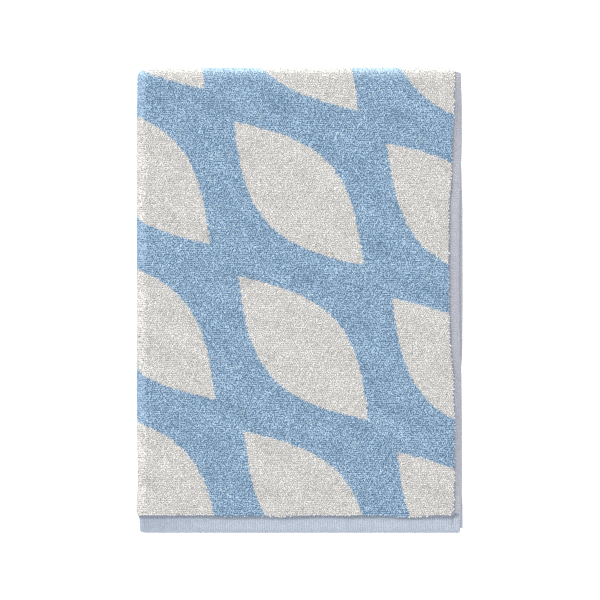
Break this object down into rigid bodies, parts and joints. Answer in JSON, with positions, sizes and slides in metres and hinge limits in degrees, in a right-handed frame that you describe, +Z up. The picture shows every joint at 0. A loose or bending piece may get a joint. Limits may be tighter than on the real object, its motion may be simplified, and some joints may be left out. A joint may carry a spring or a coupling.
{
  "type": "hand towel",
  "caption": "Cotton terry hand towel folded in quarters, with a thick fold on one side, a fold along the top, and flat woven hems on its open edges.",
  "frame": {"origin": "middle of the folded towel's outline, on the surface that it lies on", "axes": "+X across the towel towards its open selvedges, +Y along it towards the fold at the top, +Z up out of its upper face"},
  "size_m": [0.2458, 0.35, 0.02],
  "materials": {
    "terry_ground": "cotton terry cloth, matt",
    "terry_blue": "blue cotton loop pile, matt",
    "terry_white": "off-white cotton loop pile, matt"
  },
  "bodies": {
    "root": {"towel": "terry_ground"}
  },
  "joints": []
}
